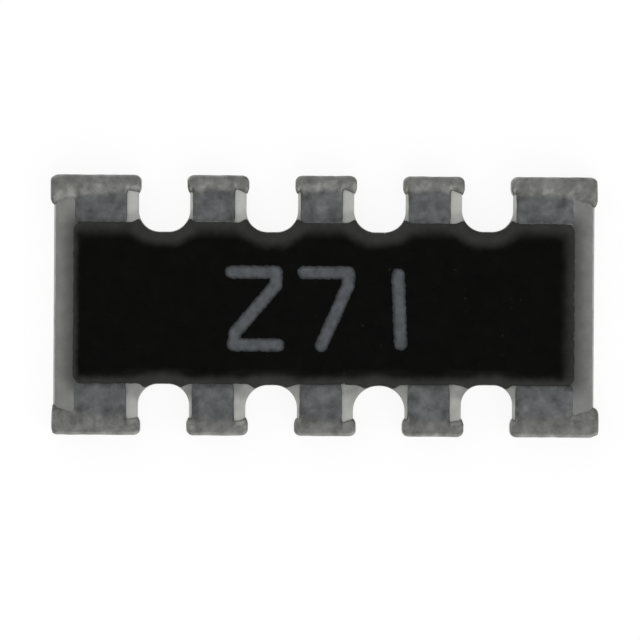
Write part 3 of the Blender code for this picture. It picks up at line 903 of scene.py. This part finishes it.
# %% [markdown]
# ## The code
#
# Three digits are printed on the coat with a stencil of even strokes and round ends.
# Each is a film of ink a few thousandths of a millimetre thick, laid on the coat as it
# really lies: the same rays, dropped on the finished coat, find its surface.

# %% Building the digits
INK_STEP = 0.009
INK_STROKE = 0.16
INK_THICKNESS = 0.006
INK_EDGE = 0.022
INK_EDGE_SHARE = 0.25
INK_BORDER = (-0.01, 0.05)
INK_WEAR = 0.4
TWO = [(-0.5, 0.5), (0.45, 0.5), (0.45, 0.33), (-0.42, -0.33), (-0.45, -0.5), (0.5, -0.5)]
SEVEN = [(-0.5, 0.5), (0.45, 0.5), (0.45, 0.33), (-0.12, -0.5)]
ONE = [(-0.03, 0.47), (0.03, -0.47)]
DIGIT_SIZE = (0.55, 0.855)
DIGIT_PITCH = 0.85
DIGIT_CENTER = (0.04, -0.035)

coat_surface = faces_tree([coat])


def stroke_distance(x, y, start, end, radius):
    """Distance outside a line with round ends."""
    run = np.subtract(end, start)
    share = ((x - start[0]) * run[0] + (y - start[1]) * run[1]) / (run @ run)
    share = np.clip(share, 0, 1)
    return np.hypot(x - start[0] - share * run[0], y - start[1] - share * run[1]) - radius


def build_digit(place_number, path):
    center = np.array(((place_number - 2) * DIGIT_PITCH + DIGIT_CENTER[0], DIGIT_CENTER[1]))
    points = [center + np.multiply(point, DIGIT_SIZE) for point in path]

    def outline(x, y):
        nearest = np.full(np.shape(x), np.inf)
        for start, end in zip(points, points[1:]):
            nearest = np.minimum(nearest, stroke_distance(x, y, start, end, INK_STROKE / 2))
        return nearest + waviness(x, y, size=0.010, patch=0.05, seed=50 + place_number)

    def ink_faces(x, y, depth):
        ground = landing_height(coat_surface, x, y, coat_high[2]) + SEAT_GAP / 4
        rise = edge_rise(depth, INK_EDGE)
        grain_height = 0.0008 * lumps(x, y, 0.0, patch=0.03, seed=60 + place_number, octaves=3)
        thickness = INK_THICKNESS * (INK_EDGE_SHARE + (1 - INK_EDGE_SHARE) * rise)
        return ground, ground + thickness + grain_height * rise

    low, high = (center + sign * (np.array(DIGIT_SIZE) / 2 + INK_STROKE) for sign in (-1, 1))
    vertices, faces = film((low[0], high[0], low[1], high[1]), INK_STEP, outline, ink_faces)
    digit = work_object(f"printed_digit_{place_number}", vertices, faces)
    x, y = vertices[:, 0], vertices[:, 1]
    worn = INK_WEAR * np.clip(lumps(x, y, 0.0, patch=0.12, seed=70 + place_number), 0, 1)
    mark(digit.data, "cover", eased(-outline(x, y), *INK_BORDER) * (1 - worn))
    place_piece(digit, f"marking_digit_{place_number}", marking_ink)


for place_number, path in enumerate((TWO, SEVEN, ONE), start=1):
    build_digit(place_number, path)

# %% [markdown]
# ## The plated terminals
#
# Plating grows as one skin over the cap, the pad on top and the pad underneath, so
# every inner corner fills and every outer corner rounds. Bevels can't do that where
# three shapes meet. A voxel remesh can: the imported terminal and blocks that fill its
# hollow are melted into one lump, its top is eased into a gentle ramp from the pad onto
# the cap, and it is melted once more, smoothed and roughened by noise. A Boolean then
# takes the tab out of it again, which leaves a skin with a soft outside and a clean
# inside.

# %% Solid blocks and modifiers
def add_block(bm, low, high):
    """A plain block between two corners."""
    size = np.subtract(high, low)
    middle = Matrix.Translation(np.add(low, high) / 2)
    bmesh.ops.create_cube(bm, size=1.0, matrix=middle @ Matrix.Diagonal((*size, 1.0)))


def object_from(bm, name):
    """An object made of these shells, which are then freed."""
    mesh = bpy.data.meshes.new(name)
    bm.to_mesh(mesh)
    bm.free()
    return link_object(name, mesh)


def block_object(name, low, high, corner):
    """A block whose upright edges are rounded to this radius."""
    bm = bmesh.new()
    add_block(bm, low, high)
    rise = [abs(edge.verts[0].co.z - edge.verts[1].co.z) for edge in bm.edges]
    upright = [edge for edge, height in zip(bm.edges, rise) if height > corner]
    bmesh.ops.bevel(bm, geom=upright, offset=corner, segments=4, profile=0.5, affect="EDGES")
    return object_from(bm, name)


def add_modifier(item, kind, **settings):
    step = item.modifiers.new(kind.lower(), kind)
    for name, value in settings.items():
        setattr(step, name, value)


def apply_modifiers(item):
    """Replace the object's mesh by what its modifiers make of it."""
    graph = bpy.context.evaluated_depsgraph_get()
    result = bpy.data.meshes.new_from_object(item.evaluated_get(graph))
    item.modifiers.clear()
    old = item.data
    item.data = result
    bpy.data.meshes.remove(old)


def cut_out(item, tool):
    """Take the tool out of the item, and delete the tool."""
    add_modifier(item, "BOOLEAN", operation="DIFFERENCE", solver="MANIFOLD", object=tool)
    apply_modifiers(item)
    old = tool.data
    bpy.data.objects.remove(tool, do_unlink=True)
    bpy.data.meshes.remove(old)


# %% Melting and smoothing
VOXEL = 0.011


def melt(item, softenings):
    """Melt the object's shells into one even skin, and soften it this many times."""
    add_modifier(item, "REMESH", mode="VOXEL", voxel_size=VOXEL)
    add_modifier(item, "SMOOTH", factor=0.5, iterations=softenings)
    apply_modifiers(item)


def rows_of(values, name):
    """Three numbers for each point of a mesh, such as its place, as rows."""
    flat = np.empty(len(values) * 3, dtype=np.float32)
    values.foreach_get(name, flat)
    return flat.reshape(-1, 3).astype(float)


def points_of(mesh):
    return rows_of(mesh.vertices, "co")


def normals_of(mesh):
    return rows_of(mesh.vertex_normals, "vector")


def set_points(mesh, points):
    mesh.vertices.foreach_set("co", points.ravel().astype(np.float32))
    mesh.update()


# %% Where the parts of a terminal lie
CAP_THICKNESS = 0.03
CAP_BAND = 0.23
END_CAP_BAND = 0.33
CAP_ARCH = 0.08
PLATING_THICKNESS = 0.022
PLATING_SPREAD = 0.01


def tab_of(number):
    """The places that a terminal's shape follows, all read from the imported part."""
    low, high = corners(f"terminal_{number}")
    pad_low, pad_high = corners(f"back_pad_{number}")
    side = 1.0 if high[1] > half_width else -1.0
    strip_left, strip_right = low[0] < -half_length, high[0] > half_length
    return SimpleNamespace(
        number=number, side=side, tip=side * half_width, cap_top=high[2],
        left=low[0] + CAP_THICKNESS, right=high[0] - CAP_THICKNESS,
        pad_left=pad_low[0], pad_right=pad_high[0],
        slab_left=coat_low[0] if strip_left else pad_low[0] - PLATING_SPREAD,
        slab_right=coat_high[0] if strip_right else pad_high[0] + PLATING_SPREAD,
        pad_end=low[1] if side > 0 else high[1],
        back_pad_end=pad_low[1] if side > 0 else pad_high[1],
        strip_left=strip_left, strip_right=strip_right,
    )


def from_cap_edge(tab, x, y):
    """Distance from the cap's arched inner edge, positive on the cap."""
    share = np.clip((x - tab.left) / (tab.right - tab.left), 0, 1)
    left_band = END_CAP_BAND if tab.strip_left else CAP_BAND
    right_band = END_CAP_BAND if tab.strip_right else CAP_BAND
    band = left_band + (right_band - left_band) * share - CAP_ARCH * (1 - (2 * share - 1) ** 2)
    return y * tab.side - (half_width - band)


print("terminal 9 spans", round(tab_of(9).left, 3), "to", round(tab_of(9).right, 3))

# %% Shaping the skin
RAMP = 0.12
RAMP_EVENNESS = 0.35
STRIP_RAMP = 0.10
STRIP_BEAD = 0.20
FIT = 0.001
CLEAR = 0.0015
SOFTEN_LOSS = 0.002
CORNER_BULGE = {10: 0.013, 1: -0.012, 6: 0.005, 5: 0.030}
FLANK_SHARE = 0.80
FLANK_EDGE = (-0.02, 0.005)
WALL_SHARE = (0.15, 0.85)


def ceiling(tab, x, y):
    """How high the skin stands: a gentle ramp from the pad onto the cap, and beside the
    pad a rounded bead that rises from the ceramic or the strip."""
    left_ramp = STRIP_RAMP if tab.strip_left else PLATING_SPREAD
    right_ramp = STRIP_RAMP if tab.strip_right else PLATING_SPREAD
    on_pad = eased(x, tab.slab_left, tab.slab_left + left_ramp)
    on_pad *= 1 - eased(x, tab.slab_right - right_ramp, tab.slab_right)
    at_strip = tab.strip_left & (x < tab.slab_left + left_ramp)
    at_strip |= tab.strip_right & (x > tab.slab_right - right_ramp)
    ground = np.where(at_strip, print_high[2], board_high[2])
    edge = from_cap_edge(tab, x, y)
    edge += 0.012 * lumps(x, y, 0.0, patch=0.1, seed=100 + tab.number, octaves=2)
    share = np.clip(edge / RAMP, 0, 1)
    pad_top = print_high[2] + PLATING_THICKNESS
    climb = RAMP_EVENNESS * share + (1 - RAMP_EVENNESS) * eased(share, 0, 1)
    ramp = pad_top + (tab.cap_top - pad_top) * climb
    bead_share = np.where(at_strip, np.clip(edge / STRIP_BEAD, 0, 1), share)
    bead = ground + (tab.cap_top - ground) * (1 - (1 - bead_share) ** 2)
    return bead + (ramp - bead) * on_pad


def kept_clear(values, planes):
    """Values that nearly touch a plane are moved off it, so that the Boolean cuts well."""
    for plane in planes:
        offset = values - plane
        moved = plane + np.copysign(CLEAR, offset)
        values = np.where(np.abs(offset) < CLEAR, moved, values)
    return values


def shape_top(skin, tab):
    """Lower what stands above the ceiling."""
    points = points_of(skin.data)
    top = points[:, 2] > board_high[2] - 2 * PLATING_THICKNESS
    limit = ceiling(tab, points[:, 0], points[:, 1])
    points[:, 2] = np.where(top, np.minimum(points[:, 2], limit), points[:, 2])
    set_points(skin.data, points)


def shorten_flanks(points, tab):
    """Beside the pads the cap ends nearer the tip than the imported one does."""
    x, y = points[:, 0], points[:, 1]
    beside = np.zeros(len(points))
    if not tab.strip_left:
        beside += eased(tab.slab_left - x, *FLANK_EDGE)
    if not tab.strip_right:
        beside += eased(x - tab.slab_right, *FLANK_EDGE)
    from_tip = np.maximum((tab.tip - y) * tab.side, 0)
    points[:, 1] += tab.side * (1 - FLANK_SHARE) * from_tip * beside


def roughen(skin, tab):
    """Lumps of plating, and each corner's own bulge of its wall past the board's end."""
    points = points_of(skin.data)
    shorten_flanks(points, tab)
    rough = 0.0040 * lumps(*points.T, patch=0.15, seed=80 + tab.number, octaves=2)
    rough += 0.0012 * lumps(*points.T, patch=0.05, seed=90 + tab.number, octaves=2) + SOFTEN_LOSS
    points += normals_of(skin.data) * rough[:, None]
    outward = math.copysign(1.0, tab.left)
    in_wall = (points[:, 0] * outward - half_length) / CAP_THICKNESS
    bulge = CORNER_BULGE.get(tab.number, 0.0) * eased(in_wall, *WALL_SHARE)
    points[:, 0] = kept_clear(points[:, 0] + outward * bulge, (tab.left - FIT, tab.right + FIT))
    board_planes = board_low[2] - FIT, board_high[2] + FIT
    points[:, 2] = kept_clear(np.maximum(points[:, 2], 0.0), board_planes)
    set_points(skin.data, points)


# %% Marking the plating for its material
CAP_BORDER = (-0.035, 0.055)
FLANK_REACH = (0.03, 0.20)
BEAD_MIDDLE = 0.02
BEAD_WIDTH = 0.05
# Painted shade in the bead along the cap's lower edge, deepest towards the flanks.
BEAD_SHADE = 0.12
FLANK_SHADE = 0.68
UPRIGHT_FROM = (0.4, 0.9)
UPRIGHT_CALM = 0.55
# Over this reach the pad turns darker towards the coat, by the amount below.
COAT_SIDE_REACH = 0.09
COAT_SIDE_DARKENING = 0.5
# Painted shade on sloped faces on top of the terminal.
STEEP_SHADE = 0.5
MIDDLE_LIGHT = 0.16
MIDDLE_REACH = 0.12
MEAN_TONE = 0.48
TONE_DRIFT = 0.55


def mark_plating(mesh, tab):
    """Where the cap and the upright faces are, and how light each place is: mottled,
    lighter along the pad's middle, with painted shade in the cap's bead and on sloped
    edges, and darker towards the coat."""
    x, y, z = points_of(mesh).T
    edge = from_cap_edge(tab, x, y)
    edge += 0.022 * lumps(x, y, z, patch=0.09, seed=120 + tab.number, octaves=2)
    mark(mesh, "cap", eased(edge, *CAP_BORDER))
    at_flank = 1 - eased(np.minimum(x - tab.left, tab.right - x), *FLANK_REACH)
    # The bead along the cap's lower edge gets painted shade, most near the flanks.
    bead = np.exp(-((edge - BEAD_MIDDLE) / BEAD_WIDTH) ** 2)
    bead *= BEAD_SHADE + FLANK_SHADE * at_flank
    steep = 1 - np.abs(normals_of(mesh)[:, 2])
    upright = eased(steep, *UPRIGHT_FROM)
    mark(mesh, "upright", upright)
    coat_end = (coat_high[1] if tab.side > 0 else -coat_low[1]) + COAT_LAP
    near_coat = 1 - eased(y * tab.side - coat_end, 0.0, COAT_SIDE_REACH)
    # Painted shade of the bead and of sloped faces on top, plus darkening towards the coat.
    shade = bead + (COAT_SIDE_DARKENING * near_coat + STEEP_SHADE * steep) * top_share(z)
    from_middle = (x - (tab.slab_left + tab.slab_right) / 2) / MIDDLE_REACH
    tone = MEAN_TONE + MIDDLE_LIGHT * np.exp(-from_middle ** 2) - shade
    drift = lumps(x, y, z, patch=0.12, seed=140 + tab.number, octaves=3)
    drift *= 1 - UPRIGHT_CALM * upright
    mark(mesh, "tone", np.clip(tone + TONE_DRIFT * drift, 0, 1))


# %% Building the terminals
FILL_LAP = 0.005
FILL_DEPTH = 0.05
TAB_START = 0.5


def spanned(first, second, low_x, high_x, low_z, high_z):
    """Corners of a block between two places across the board, in either order."""
    return (low_x, min(first, second), low_z), (high_x, max(first, second), high_z)


def filled_terminal(tab):
    """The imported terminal, with the space that the tab and the printed pads take filled."""
    bm = bmesh.new()
    bm.from_mesh(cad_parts[f"terminal_{tab.number}"].data)
    bmesh.ops.scale(bm, vec=(1 / MM,) * 3, verts=bm.verts)
    cap_start = tab.side * (half_width - CAP_BAND + CAP_ARCH)
    low_z, high_z = board_low[2] - FILL_LAP, board_high[2] + FILL_LAP
    add_block(bm, *spanned(cap_start, tab.tip + tab.side * FILL_LAP,
                           tab.left - FILL_LAP, tab.right + FILL_LAP, low_z, high_z))
    on_board = board_high[2] - FILL_DEPTH, print_high[2] + FILL_LAP
    slab_x = [tab.slab_left + 2 * FILL_LAP, tab.slab_right - 2 * FILL_LAP]
    add_block(bm, *spanned(tab.pad_end + tab.side * FILL_LAP, tab.tip, *slab_x, *on_board))
    pad_x = tab.pad_left + FILL_LAP, tab.pad_right - FILL_LAP
    add_block(bm, *spanned(tab.back_pad_end, tab.tip, *pad_x,
                           2 * FILL_LAP, board_low[2] + FILL_DEPTH))
    if tab.strip_left:
        slab_x[0] = min(tab.left + 4 * FILL_LAP, slab_x[0])
    if tab.strip_right:
        slab_x[1] = max(tab.right - 4 * FILL_LAP, slab_x[1])
    if tab.strip_left or tab.strip_right:
        add_block(bm, *spanned(cap_start, tab.tip, *slab_x, *on_board))
    return object_from(bm, f"plated_terminal_{tab.number}")


def build_terminal(tab):
    skin = filled_terminal(tab)
    melt(skin, softenings=3)
    shape_top(skin, tab)
    melt(skin, softenings=7)
    roughen(skin, tab)
    space = spanned(tab.side * TAB_START, tab.tip + tab.side * FIT, tab.left - FIT, tab.right + FIT,
                    board_low[2] - FIT, board_high[2] + FIT)
    cut_out(skin, block_object("tab_space", *space, TAB_CORNER))
    mark_plating(skin.data, tab)
    place_piece(skin, f"terminal_{tab.number}", matte_tin)


for number in numbers:
    build_terminal(tab_of(number))

# %% [markdown]
# ## The layers that stay as packed
#
# The printed pads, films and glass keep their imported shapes, which are right as they
# are and lie out of sight. They only get their finished materials.

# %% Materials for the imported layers
def give_material(node, surface):
    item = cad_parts[node]
    if item.material_slots:
        item.material_slots[0].material = surface
    else:
        item.data.materials.append(surface)


for number in middle_numbers:
    give_material(f"signal_pad_{number}", silver_palladium)
    give_material(f"resistor_{number}", resistor_paste)
for number in numbers:
    give_material(f"back_pad_{number}", silver_palladium)
give_material("glass_layer", green_glass)
print("packed layers finished:", 2 * len(middle_numbers) + len(numbers) + 1)

# %% [markdown]
# ## Floor
#
# The part lies on a white sheet. The floor's colour is that of paper for the light that
# bounces off it, and what a camera, a reflection or a pane of glass sees of it is mostly
# plain white, with enough of the lit surface left to keep the part's soft shadow.

# %% Floor
FLOOR_HALF = 60.0
PAPER = (0.8, 0.8, 0.8, 1)
SHADED_PAPER = (0.15, 0.15, 0.15, 1)
PAPER_GLOW = 0.88


def build_floor():
    half = FLOOR_HALF * MM
    sheet = [(-half, -half, 0), (half, -half, 0), (half, half, 0), (-half, half, 0)]
    floor = work_object("floor", sheet, [(0, 1, 2, 3)])
    surface, tree = new_material("white_sheet")
    shader = tree.nodes["Principled BSDF"]
    shader.inputs["Base Color"].default_value = PAPER
    shader.inputs["Roughness"].default_value = 0.9
    seen = add(tree, "ShaderNodeBsdfDiffuse", inputs={"Color": SHADED_PAPER})
    glow = add(tree, "ShaderNodeEmission", inputs={"Strength": PAPER_GLOW})
    white = add(tree, "ShaderNodeAddShader", inputs={0: seen.outputs[0], 1: glow.outputs[0]})
    path = add(tree, "ShaderNodeLightPath")
    looks = combined(tree, "MAXIMUM", path.outputs["Is Camera Ray"], path.outputs["Is Glossy Ray"])
    looks = combined(tree, "MAXIMUM", looks, path.outputs["Is Transmission Ray"])
    inputs = {0: looks, 1: shader.outputs[0], 2: white.outputs[0]}
    choice = add(tree, "ShaderNodeMixShader", inputs=inputs).outputs[0]
    tree.links.new(choice, tree.nodes["Material Output"].inputs["Surface"])
    floor.data.materials.append(surface)


build_floor()
print("floor side", 2 * FLOOR_HALF, "mm")

# %% [markdown]
# ## Light
#
# A small flat part is photographed inside a bright tent with the camera looking in from
# above. What shiny faces mirror of it is white all round, brighter in front than behind,
# and dim overhead, where the camera closes the tent. Matte faces only gather its even
# light. Two soft suns give the shapes a direction, the stronger from in front.

# %% World and lamps
SKY_LEVEL = 0.58
ZENITH_LEVEL = 0.28
HORIZON_LEVEL = 0.85
BACK_LEVEL = 0.75


def build_world():
    world = bpy.data.worlds.new("light_tent")
    bpy.context.scene.world = world
    world.use_nodes = True
    tree = world.node_tree
    place = add(tree, "ShaderNodeTexCoord")
    toward = add(tree, "ShaderNodeSeparateXYZ", inputs={0: place.outputs["Generated"]})
    dome = add(tree, "ShaderNodeMapRange", interpolation_type="SMOOTHSTEP", inputs={
        "Value": toward.outputs["Z"], "From Min": 0.10, "From Max": 0.70,
        "To Min": HORIZON_LEVEL, "To Max": ZENITH_LEVEL,
    })
    side = add(tree, "ShaderNodeMapRange", inputs={
        "Value": toward.outputs["Y"], "From Min": -1.0, "From Max": 1.0,
        "To Min": 1.0, "To Max": BACK_LEVEL,
    })
    mirrored = combined(tree, "MULTIPLY", dome.outputs["Result"], side.outputs["Result"])
    path = add(tree, "ShaderNodeLightPath")
    glossy, clear = path.outputs["Is Glossy Ray"], path.outputs["Is Transmission Ray"]
    looks = combined(tree, "MAXIMUM", glossy, clear)
    tent = mix_numbers(tree, looks, SKY_LEVEL, mirrored)
    shown = mix_numbers(tree, path.outputs["Is Camera Ray"], tent, 1.0)
    tree.links.new(shown, tree.nodes["Background"].inputs["Color"])


def add_sun(name, azimuth, elevation, strength, softness):
    """A sun that shines from this azimuth, counted from +X towards +Y."""
    data = bpy.data.lights.new(name, "SUN")
    data.energy = strength
    data.angle = math.radians(softness)
    around, up = math.radians(azimuth), math.radians(elevation)
    level = math.cos(up)
    toward = Vector((math.cos(around) * level, math.sin(around) * level, math.sin(up)))
    link_object(name, data).rotation_euler = toward.to_track_quat("Z", "Y").to_euler()


build_world()
add_sun("key_sun", azimuth=302, elevation=46, strength=0.8, softness=70)
add_sun("fill_sun", azimuth=125, elevation=38, strength=0.55, softness=80)
print("lamps: key and fill")

# %% [markdown]
# ## Camera
#
# The photograph looks straight down from far off, so nothing leans and no side shows.
# A long lens from 120 mm away does the same. The part lies a third of a degree
# clockwise and a little above the middle of the picture.

# %% Camera
LENS = 574.0
SENSOR = 36.0
PICTURE_WIDTH = 7.53
ROLL = 0.35
AIM = (-0.044, -0.165)


def build_camera():
    data = bpy.data.cameras.new("camera")
    data.sensor_width = SENSOR
    data.lens = LENS
    data.clip_start = 0.005
    data.clip_end = 1.0
    camera = link_object("camera", data)
    distance = PICTURE_WIDTH * LENS / SENSOR
    camera.location = Vector((AIM[0], AIM[1], distance + coat_high[2])) * MM
    camera.rotation_euler = (0, 0, math.radians(ROLL))
    bpy.context.scene.camera = camera
    return distance


distance = build_camera()
bpy.context.scene.view_settings.view_transform = "Standard"
print("camera stands", round(distance, 1), "mm above the part")

# %% [markdown]
# ## Triangle count
#
# The last line prints how many triangles the new pieces have in all. The visual pieces
# must stay inside the imported part's box.

# %% Counting the triangles
print("triangles in all:", sum(triangles for _, triangles in pieces_made))
